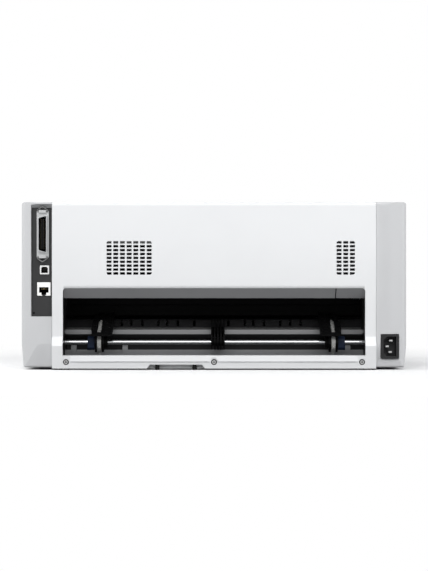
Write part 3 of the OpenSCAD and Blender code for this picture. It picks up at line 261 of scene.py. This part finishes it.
def smoked():
    """The window of the cover: dark clear plastic with a slightly uneven gloss."""
    material, tree, shader = new_material("smoke")
    shader.inputs["Base Color"].default_value = (0.09, 0.095, 0.1, 1)
    shader.inputs["Alpha"].default_value = 0.72
    fine = noise(tree, 600)
    tree.links.new(ramp(tree, fine, NOISE_LOW, NOISE_HIGH, 0.08, 0.16), shader.inputs["Roughness"])
    return material


def lamp_lens(name, colour):
    """Small tinted lens, unlit, a little deeper in colour at its rim."""
    material, tree, shader = new_material(name)
    facing = tree.nodes.new("ShaderNodeLayerWeight")
    facing.inputs["Blend"].default_value = 0.35
    rim = blend(tree, facing.outputs["Facing"], colour, tuple(c * 0.35 for c in colour))
    tree.links.new(rim, shader.inputs["Base Color"])
    shader.inputs["Roughness"].default_value = 0.12
    shader.inputs["Coat Weight"].default_value = 0.6
    return material


# colour, roughness, metallic, and what departs from a plain finish
FINISHES = {
    # the record's slots
    "white": ((0.80, 0.808, 0.818), 0.42, 0, dict(depth=0.02, drift=0.012, edge=0.8)),
    "cap": ((0.585, 0.59, 0.6), 0.42, 0, dict(depth=0.02, drift=0.012, edge=1.0)),
    "tray": ((0.26, 0.265, 0.272), 0.55, 0, dict(depth=0.03, drift=0.03)),
    "black": ((0.0035, 0.0035, 0.0037), 0.6, 0, dict(depth=0.03, drift=0.12, wear=0.02, specular=0.05)),
    "charcoal": ((0.03, 0.03, 0.032), 0.5, 0, dict(depth=0.03, drift=0.06, wear=0.1, specular=0.4)),
    "rubber": ((0.012, 0.012, 0.012), 0.85, 0, dict(depth=0.06, grain=900, drift=0.15, specular=0.2)),
    "steel": ((0.34, 0.345, 0.35), 0.42, 1, dict(brushed=(1, 12, 1), drift=0.06, depth=0.01)),
    "bright": ((0.45, 0.46, 0.47), 0.24, 1, dict(brushed=(14, 1, 1), drift=0.03, depth=0.004)),
    # the port plate is dark grey metal, painted darker still to stand in for the shade of a deep recess
    "plate": ((0.043, 0.043, 0.044), 0.6, 0, dict(drift=0.05, depth=0.02, specular=0.2)),
    "connector": ((0.4, 0.405, 0.41), 0.36, 1, dict(drift=0.08, depth=0.006, edge=0.3)),
    "pins": ((0.42, 0.42, 0.42), 0.36, 1, dict(drift=0.05, depth=0.004, edge=0.2)),
    "liner": ((0.345, 0.345, 0.355), 0.55, 0, dict(depth=0.03, drift=0.05)),
    "belt": ((0.34, 0.34, 0.33), 0.65, 0, dict(depth=0.03, drift=0.06)),
    "gear": ((0.75, 0.75, 0.71), 0.4, 0, dict(depth=0.01, drift=0.03, edge=0.2)),
    "brass": ((0.75, 0.58, 0.3), 0.3, 1, dict(drift=0.06, depth=0.005, edge=0.2)),
    "navy": ((0.003, 0.008, 0.022), 0.55, 0, dict(depth=0.02, drift=0.1, wear=0.1, specular=0.12)),
    "keys": ((0.38, 0.39, 0.41), 0.45, 0, dict(depth=0.02, drift=0.03)),
    # finishes of single nodes and of the pieces made here
    "silver_square": ((0.2, 0.202, 0.206), 0.5, 0.85, dict(brushed=(14, 1, 1), drift=0.04)),
    "usb_tin": ((0.7, 0.7, 0.7), 0.34, 0.9, dict(drift=0.04, depth=0.004, edge=0.3)),
    "zinc_dark": ((0.035, 0.035, 0.036), 0.5, 0.6, dict(brushed=(1, 6, 1), drift=0.1, depth=0.01)),
    "inlet": ((0.014, 0.014, 0.015), 0.5, 0, dict(depth=0.03, drift=0.06, specular=0.25)),
    "bail": ((0.2, 0.2, 0.2), 0.4, 1, dict(drift=0.05, depth=0.004, edge=0.2)),
    "screw": ((0.62, 0.62, 0.62), 0.34, 1, dict(brushed=(1, 6, 1), drift=0.05, depth=0.005, edge=0.2)),
    "guide": ((0.016, 0.016, 0.017), 0.6, 0, dict(depth=0.03, drift=0.1, specular=0.12)),
    "guide_lip": ((0.07, 0.07, 0.07), 0.5, 0, dict(depth=0.02, drift=0.06, specular=0.25)),
    # painted shade: brass darkened for the contacts that lie in shade deep in the parallel and USB sockets
    "shaded_brass": ((0.11, 0.09, 0.055), 0.45, 1, dict(drift=0.15, depth=0.005, edge=0.1)),
    "jack": ((0.86, 0.86, 0.85), 0.36, 0.75, dict(drift=0.03, depth=0.004, edge=0.3)),
    # the insulators' own near-black; it is also the painted shade of the socket linings and the screw rings
    "socket_dark": ((0.004, 0.004, 0.004), 0.7, 0, dict(drift=0.2, specular=0.1)),
    "screen": ((0.16, 0.2, 0.15), 0.14, 0, dict(drift=0.05, specular=0.6)),
}
MATERIALS = {name: surface(name, *plain, **special) for name, (*plain, special) in FINISHES.items()}
MATERIALS["smoke"] = smoked()
MATERIALS["lens_green"] = lamp_lens("lens_green", (0.08, 0.26, 0.08))
MATERIALS["lens_amber"] = lamp_lens("lens_amber", (0.42, 0.17, 0.03))

SLOT_OF = {entry["node"]: entry["material_slot"] for entry in frame["record"]["subparts"]}
OWN_FINISH = {
    "square_shaft": "silver_square",
    "network_jack": "jack",
    "port_insulators": "socket_dark",
    "usb_shell": "usb_tin",
    "rear_screws": "screw",
    "paper_guide": "guide",
    "side_frame_ports": "zinc_dark",
    "side_frame_power": "zinc_dark",
    "parallel_latch_upper": "bail",
    "parallel_latch_lower": "bail",
    "power_inlet": "inlet",
}


def dress_nodes():
    for name, node in NODES.items():
        node.data.materials.clear()
        node.data.materials.append(MATERIALS[OWN_FINISH.get(name, SLOT_OF[name])])


# ---- mesh tools; forms are drawn in millimetres ----
SMOOTH_BELOW = math.radians(38)


def block(bm, low, high, soft=0.2, turn=None, at=(0, 0, 0)):
    """A box between two corners with softened edges, then turned and moved."""
    low, high = Vector(low), Vector(high)
    place = Matrix.Translation((low + high) / 2) @ Matrix.Diagonal((*(high - low), 1))
    made = bmesh.ops.create_cube(bm, size=1, matrix=place)["verts"]
    edges = list({edge for vert in made for edge in vert.link_edges})
    if soft:
        made = bmesh.ops.bevel(bm, geom=edges, offset=soft, segments=2, affect="EDGES", profile=0.5)["verts"]
    if turn:
        bmesh.ops.transform(bm, matrix=Matrix.Translation(at) @ turn, verts=made)


def bar(bm, x, z, half_x, half_z, back, front, soft=0.0):
    """A block along Y, given by its middle and half its size across."""
    block(bm, (x - half_x, back, z - half_z), (x + half_x, front, z + half_z), soft)


def bridge(bm, rings):
    """The skin between rings of corners, one after the other."""
    for a, b in zip(rings, rings[1:]):
        for i in range(len(a)):
            j = (i + 1) % len(a)
            bm.faces.new((a[i], a[j], b[j], b[i]))


def loft(bm, sections):
    """A closed skin through sections with the same number of corners."""
    rings = [[bm.verts.new(corner) for corner in section] for section in sections]
    bridge(bm, rings)
    bm.faces.new(rings[0])
    bm.faces.new(rings[-1])


def turned(bm, profile, at, axis="X", steps=32, closed=True):
    """A form of revolution; profile lists (radius, distance along the axis).

    A closed profile comes back to its start, and an open one is capped at both ends.
    """
    rings = []
    for radius, along in profile:
        ring = []
        for i in range(steps):
            a = 2 * math.pi * i / steps
            u, v = radius * math.cos(a), radius * math.sin(a)
            offset = {"X": (along, u, v), "Y": (v, along, u), "Z": (u, v, along)}[axis]
            ring.append(bm.verts.new(Vector(at) + Vector(offset)))
        rings.append(ring)
    if closed:
        bridge(bm, rings + rings[:1])
    else:
        bridge(bm, rings)
        bm.faces.new(rings[0])
        bm.faces.new(rings[-1])


def tube(bm, points, radius, steps=8):
    """A round wire through the points."""
    points = [Vector(p) for p in points]
    aside = Vector((0.31, 0.17, 0.93))
    sections = []
    for i, p in enumerate(points):
        ahead = (points[min(i + 1, len(points) - 1)] - points[max(i - 1, 0)]).normalized()
        side = ahead.cross(aside).normalized()
        up = ahead.cross(side)
        angles = [2 * math.pi * j / steps for j in range(steps)]
        sections.append([p + radius * (math.cos(a) * side + math.sin(a) * up) for a in angles])
    loft(bm, sections)


def prism(bm, outline, low, high, axis="X"):
    """An outline drawn across the axis, drawn out from low to high along it."""
    def point(p, along):
        return {"X": (along, p[0], p[1]), "Z": (p[0], p[1], along)}[axis]
    loft(bm, [[point(p, along) for p in outline] for along in (low, high)])


def piece(name, bm, body, slot, material=None):
    bmesh.ops.scale(bm, vec=(MM, MM, MM), verts=bm.verts)
    bmesh.ops.recalc_face_normals(bm, faces=bm.faces)
    mesh = bpy.data.meshes.new(name)
    bm.to_mesh(mesh)
    bm.free()
    mesh.shade_smooth()
    mesh.set_sharp_from_angle(angle=SMOOTH_BELOW)
    mesh.materials.append(MATERIALS[material or slot])
    made = bpy.data.objects.new(name, mesh)
    bpy.context.scene.collection.objects.link(made)
    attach(made, body)
    return made


def box_mm(node):
    low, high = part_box(node)
    return Vector(low) / MM, Vector(high) / MM


def middle(node):
    low, high = box_mm(node)
    return (low + high) / 2


# ---- ports ----
PLATE_Y = box_mm("interface_plate")[1].y
PARALLEL = middle("parallel_shell")
USB = middle("usb_shell")
JACK = middle("network_jack")
SOCKET_BACK = PLATE_Y - 11.9
SOCKET_LIP = PLATE_Y + 1.55
LINING = 0.12


def parallel_contacts():
    """Two rows of 18 flat contacts on the tongue of the 36-way connector."""
    pitch, row_x = 2.16, 1.95
    bm = bmesh.new()
    for side in (-1, 1):
        for i in range(18):
            z = PARALLEL.z + (i - 8.5) * pitch
            bar(bm, PARALLEL.x + side * row_x, z, 0.16, 0.55, PLATE_Y - 4.5, PLATE_Y + 5.1, 0.08)
    # the contacts' brass is painted darker for the shade inside the connector
    piece("parallel_contacts", bm, "printer", "brass", "shaded_brass")


def usb_contacts():
    """Four flat contacts, two above and two below the tongue of the USB-B socket."""
    bm = bmesh.new()
    for side in (-1, 1):
        for i in (-1, 1):
            bar(bm, USB.x + i * 1.25, USB.z + side * 1.75, 0.5, 0.16, PLATE_Y - 11, PLATE_Y + 0.2, 0.08)
    # the contacts' brass is painted darker for the shade inside the socket
    piece("usb_contacts", bm, "printer", "brass", "shaded_brass")


def network_contacts():
    """Eight sprung wires that slope down into the network socket."""
    pitch, wire_r = 1.02, 0.2
    route = [(-11.6, 1.7), (-6, 0.3), (-3, -0.9), (-2.3, -0.4), (-2.2, 0.5)]
    bm = bmesh.new()
    for i in range(8):
        x = JACK.x + (i - 3.5) * pitch
        tube(bm, [(x, PLATE_Y + y, JACK.z + z) for y, z in route], wire_r, 6)
    piece("network_contacts", bm, "printer", "brass")


def socket_shade_linings():
    """Painted shade: black linings on the walls and the backs of the jack, its latch notch and the USB
    socket, standing for the shade deep inside them.
    """
    bm = bmesh.new()

    def wall(socket, x0, x1, z0, z1):
        """Along the line between two corners, seen from behind; LINING thick on both sides of it."""
        out_x = LINING if x0 == x1 else 0
        out_z = LINING if z0 == z1 else 0
        low = (socket.x + min(x0, x1) - out_x, SOCKET_BACK, socket.z + z0 - out_z)
        high = (socket.x + max(x0, x1) + out_x, SOCKET_LIP, socket.z + z1 + out_z)
        block(bm, low, high, 0)

    wall(JACK, -6.0, 6.0, 2.3, 2.3)
    wall(JACK, -3.1, 3.1, -7.5, -7.5)
    wall(USB, -2.5, 2.5, 3.9, 3.9)
    for side in (-1, 1):
        wall(JACK, side * 5.88, side * 5.88, -4.7, 2.3)
        wall(JACK, side * 3.1, side * 6.0, -4.7, -4.7)
        wall(JACK, side * 3.1, side * 3.1, -7.5, -4.7)
        wall(JACK, side * 2.0, side * 2.0, -8.4, -7.5)
        wall(USB, side * 4.08, side * 4.08, -3.9, 2.2)
        wall(USB, 0, side * 4.2, -3.9, -3.9)
    backs = [(JACK, 5.9, -4.6, 2.2), (JACK, 3.0, -7.4, -4.6), (USB, 4.1, -3.8, 3.8)]
    for socket, half, z0, z1 in backs:
        low = (socket.x - half, SOCKET_BACK, socket.z + z0)
        high = (socket.x + half, SOCKET_BACK + LINING, socket.z + z1)
        block(bm, low, high, 0)
    piece("socket_shade_linings", bm, "printer", "black", "socket_dark")


def plate_shadow_strip_and_screw():
    """A painted shadow, a thin black strip at the outer edge of the port plate where the recess's wall
    shades it, and the plate's one small screw.
    """
    low, high = box_mm("interface_plate")
    edge = high.x - 1.4
    end = 1.6
    bm = bmesh.new()
    block(bm, (edge - 0.7, PLATE_Y - 0.2, low.z + end), (edge, PLATE_Y + 0.25, high.z - end), 0.08)
    screw = [(1.3, -0.1), (1.3, 0.35), (0.9, 0.55), (0.3, 0.55), (0.25, 0.2)]
    turned(bm, screw, (edge - 3.2, PLATE_Y, low.z + 6), "Y", 20, closed=False)
    piece("plate_shadow_strip_and_screw", bm, "printer", "black")


# ---- rear cover and paper guide ----
SILL_TOP, SILL_MID = 18.3, 10.7
SCREW_Z = middle("rear_screws").z
SCREW_X = box_mm("rear_screws")[1].x - 3
SCREW_FACE = box_mm("rear_screws")[1].y


def sill_y(z):
    """The rear face of the sill, which draws in by 3.5 mm from 31 mm above the floor to its foot."""
    return box_mm("rear_cover")[1].y - 3.5 * (31 - z) / 29.4


def screw_shade_rings():
    """Painted shade: a black ring round each of the three screws, lining the gap round its head and
    darkening the head's rim, and a black cross in its head for the shade of the cross recess.
    """
    head = [(2.35, -0.3), (2.45, 0.12), (3.0, 0.05)]
    gap = [(3.04, -1.3), (3.72, -1.3), (3.72, -1.5), (2.9, -1.5), (2.9, -0.3)]
    arm, arm_half = 2.0, 0.42
    bm = bmesh.new()
    for x in (-SCREW_X, 0, SCREW_X):
        turned(bm, head + gap, (x, SCREW_FACE, SCREW_Z), "Y", 36)
        for wide, high in ((arm, arm_half), (arm_half, arm)):
            bar(bm, x, SCREW_Z, wide, high, SCREW_FACE - 0.5, SCREW_FACE + 0.06)
    piece("screw_shade_rings", bm, "printer", "black", "socket_dark")


def sill_band():
    """The raised upper half of the sill, which leans back and passes over the middle screw."""
    clear, near = 5.2, 6.5
    fine, coarse = 0.65, (SCREW_X - clear - near) / 12
    sunk, stands_out, at_top, lean = 0.6, 1.5, 0.95, 0.1
    sections = []
    x = clear - SCREW_X
    while x <= SCREW_X - clear + 0.01:
        foot = SILL_MID
        if abs(x) < clear:
            foot = max(foot, SCREW_Z + math.sqrt(clear ** 2 - x ** 2))
        sections.append([
            (x, sill_y(foot) - sunk, foot),
            (x, sill_y(SILL_MID) + stands_out - lean * (foot - SILL_MID), foot + 0.1),
            (x, sill_y(SILL_MID) + at_top, SILL_TOP - 0.3),
            (x, sill_y(SILL_TOP) - sunk, SILL_TOP - 0.05),
        ])
        x += fine if abs(x) < near else coarse
    bm = bmesh.new()
    loft(bm, sections)
    piece("sill_band", bm, "printer", "white")


def guide_lip():
    """A lip along the foot of the paper guide, from frame to frame, in a lighter grey than the guide."""
    high = box_mm("paper_guide")[1]
    half, z = high.x - 0.4, 48.9
    outline = [(-1.2, 0), (-0.2, 0), (0.6, 0.7), (0.6, 2.5), (0.1, 3.2), (-0.6, 2.3)]
    bm = bmesh.new()
    prism(bm, [(high.y + out, z + up) for out, up in outline], -half, half)
    piece("guide_lip", bm, "printer", "black", "guide_lip")


# ---- tractors; drawn round the rear shaft, before the tilt ----
TILT = math.radians(21)
REAR_SHAFT = middle("round_shaft")
BELT_OUTSIDE, LID_GAP, LID_THICK = 13.97, 1.2, 2.0
LID_TOP = BELT_OUTSIDE + LID_GAP + LID_THICK


def tractor_place(tag, side):
    at = (middle("tractor_belt_" + tag).x, REAR_SHAFT.y, REAR_SHAFT.z)
    return Matrix.Diagonal((side, 1, 1, 1)) @ Matrix.Rotation(-TILT, 4, "X"), at


def lid_ribs(tag, side):
    """Six short ribs across the lid and two along it."""
    turn, at = tractor_place(tag, side)
    bm = bmesh.new()
    for y in range(-40, 6, 9):
        block(bm, (-14.4, y, LID_TOP - 0.2), (-4.4, y + 1.3, LID_TOP + 0.7), 0.3, turn, at)
    for x in (-8.6, -5.0):
        block(bm, (x, -55, LID_TOP - 0.2), (x + 0.9, 14.5, LID_TOP + 0.45), 0.2, turn, at)
    piece("lid_ribs_" + tag, bm, "lid_" + tag, "black")


def lever_grips(tag, side):
    """Four grip ribs down the thumb face of the lock lever."""
    turn, at = tractor_place(tag, side)
    bm = bmesh.new()
    for i in range(4):
        y, z = 8.2 + i * 1.45, 0.6 - i * 0.85
        block(bm, (7.2, y, z), (14.0, y + 0.7, z + 1), 0.2, turn, at)
    piece("lever_grips_" + tag, bm, "lever_" + tag, "navy")


# ---- drive ----
def clip(bm, x, y, z, shaft_r, out_r, width):
    """A retaining clip: an open ring with four lugs on a shaft along X."""
    steps, opens, spans = 24, -155, 310
    inner, outer = [], []
    for k in range(steps + 1):
        a = math.radians(opens + spans * k / steps)
        lug = 0.5 if k % 8 == 0 else 0.0
        for ring, radius in ((inner, shaft_r - 0.02), (outer, out_r + lug)):
            ring.append((y + radius * math.cos(a), z + radius * math.sin(a)))
    prism(bm, inner + outer[::-1], x, x + width)


def shaft_clips():
    """Clips on the round shaft at the ports' frame and on the idler's stud."""
    idler = middle("idler_gear")
    bm = bmesh.new()
    clip(bm, box_mm("side_frame_ports")[1].x + 0.6, REAR_SHAFT.y, REAR_SHAFT.z, 3.0, 5.2, 0.7)
    clip(bm, box_mm("side_frame_power")[0].x + 0.1, idler.y, idler.z, 4.2, 6.6, 0.6)
    piece("shaft_clips", bm, "printer", "steel")


def motor_fittings():
    """Two flat bands round the motor's can, four screws and a bearing cap on its end."""
    motor = middle("feed_motor")
    end = box_mm("feed_motor")[1].x
    can_r, screw_ring_r = 15.9, 11.5
    band = [(can_r, 0), (can_r + 0.4, 0.2), (can_r + 0.4, 1.6), (can_r, 1.8)]
    screw = [(1.7, 0), (1.7, 0.5), (1.2, 0.9), (0.5, 0.95), (0.5, 0.45), (0.2, 0.45)]
    bearing = [(4.2, 0), (4.2, 0.8), (3.6, 1.2), (1.6, 1.2), (1.4, 0.9)]
    bm = bmesh.new()
    for along in (-11.5, -3.2):
        turned(bm, band, (end + along, motor.y, motor.z), "X", 48)
    for k in range(4):
        a = math.radians(45 + 90 * k)
        y, z = motor.y + screw_ring_r * math.cos(a), motor.z + screw_ring_r * math.sin(a)
        turned(bm, screw, (end - 0.05, y, z), "X", 16, closed=False)
    turned(bm, bearing, (end - 0.05, motor.y, motor.z), "X", 32, closed=False)
    piece("motor_fittings", bm, "printer", "steel")


# ---- carriage ----
def print_wires():
    """The nine print wires in a zigzag column, between two guide strips of the head's nose."""
    nose = box_mm("print_head")[1].y
    centre_z = 81
    wire = [(0.16, 0), (0.16, 0.35), (0.08, 0.4)]
    bm = bmesh.new()
    for i in range(9):
        x = 0.25 if i % 2 else -0.25
        turned(bm, wire, (x, nose, centre_z + (i - 4) * 0.5), "Y", 10, closed=False)
    for z in (77.9, 83.4):
        block(bm, (-4.5, nose - 0.4, z), (4.5, nose + 0.05, z + 0.7), 0.1)
    piece("print_wires", bm, "carriage", "pins")


def cartridge_trim():
    """The ribbon knob with its 24 teeth and grip, and three ribs on the cartridge's lid."""
    low, high = box_mm("ribbon_cartridge")
    knob_x, knob_y, top = 40, low.y + 26, high.z
    teeth, crown_r, root_r = 24, 8.9, 8.35
    outline = []
    for k in range(teeth * 2):
        radius = crown_r if k % 2 else root_r
        a = math.pi * k / teeth
        outline.append((knob_x + radius * math.cos(a), knob_y + radius * math.sin(a)))
    bm = bmesh.new()
    prism(bm, outline, top - 3.4, top - 0.4, "Z")
    block(bm, (knob_x - 5.5, knob_y - 0.9, top - 0.2), (knob_x + 5.5, knob_y + 0.9, top + 0.9), 0.4)
    for x in (-50, -38, -26):
        block(bm, (x, knob_y - 18, 105.8), (x + 2, knob_y + 14, 106.7), 0.4)
    piece("cartridge_trim", bm, "cartridge", "black")


# ---- panel, cover and sheet guide ----
# The sloping front starts 98 mm above the floor and rises 116 mm over 138 mm. The panel's middle and the
# cover's front edge lie on it, this far behind the front face.
SLOPE = math.atan2(116, 138)
SLOPE_FOOT_Z = 98
PANEL_BACK, COVER_BACK = 32, 50
FRONT_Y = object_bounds()[0][1] / MM


def on_slope(x, along=0.0):
    """The place of a point on the sloping front: x across, along it uphill from the panel's middle."""
    y = FRONT_Y + PANEL_BACK
    z = SLOPE_FOOT_Z + PANEL_BACK * math.tan(SLOPE)
    return Matrix.Translation((x, y, z)) @ Matrix.Rotation(SLOPE, 4, "X") @ Matrix.Translation((0, along, 0))


def panel_screen():
    """The screen in its window of the panel, and the bezel of four bars that frames it."""
    place = on_slope(middle("control_panel").x + 54)
    bm = bmesh.new()
    block(bm, (-12.7, -7.7, -2.6), (12.7, 7.7, -0.9), 0.5, place)
    piece("panel_screen", bm, "printer", "smoke", "screen")
    bars = [
        ((-12.9, -7.9), (12.9, -6.9)),
        ((-12.9, 6.9), (12.9, 7.9)),
        ((-12.9, -7.2), (-11.9, 7.2)),
        ((11.9, -7.2), (12.9, 7.2)),
    ]
    bm = bmesh.new()
    for low, high in bars:
        block(bm, (*low, -1.6), (*high, 0.2), 0.25, place)
    piece("screen_bezel", bm, "printer", "charcoal")


def panel_lamp(name, spots, lens):
    """Lamps in a row above the keys; spots are their places across the panel."""
    panel_x = middle("control_panel").x
    bm = bmesh.new()
    for x in spots:
        block(bm, (-2.6, -0.9, 0.05), (2.6, 0.9, 0.75), 0.35, on_slope(panel_x + x, 8.5))
    piece(name, bm, "printer", "smoke", lens)


def cover_grips():
    """Five finger ribs at the front edge of the top cover."""
    edge = (COVER_BACK - PANEL_BACK) / math.cos(SLOPE)
    bm = bmesh.new()
    for i in range(5):
        block(bm, (-42, -0.7, -0.3), (42, 0.7, 0.55), 0.35, on_slope(0, edge + 6 + i * 3.2))
    piece("cover_grips", bm, "cover", "white")


def sheet_rails():
    """Four low rails that a sheet slides on, and two finger tabs behind them."""
    low, high = box_mm("sheet_guide")
    bm = bmesh.new()
    for x in (-33, -11, 11, 33):
        block(bm, (x - 0.9, low.y + 9, high.z - 0.3), (x + 0.9, high.y - 5, high.z + 0.7), 0.35)
    for x in (-9, 9):
        block(bm, (x - 5, high.y - 4.2, high.z - 0.3), (x + 5, high.y - 2.6, high.z + 0.6), 0.3)
    piece("sheet_rails", bm, "sheet_guide", "cap")


# ---- the scene ----
add_camera()
add_world()
add_floor()
for lamp in LAMPS:
    add_area(*lamp)
bpy.context.scene.view_settings.view_transform = "Standard"
dress_nodes()

parallel_contacts()
usb_contacts()
network_contacts()
socket_shade_linings()
plate_shadow_strip_and_screw()
screw_shade_rings()
sill_band()
guide_lip()
for tag, side in (("a", 1), ("b", -1)):
    lid_ribs(tag, side)
    lever_grips(tag, side)
shaft_clips()
motor_fittings()
print_wires()
cartridge_trim()
panel_screen()
panel_lamp("ready_lamp", (-52,), "lens_green")
panel_lamp("warning_lamps", (-26, 0, 26), "lens_amber")
cover_grips()
sheet_rails()
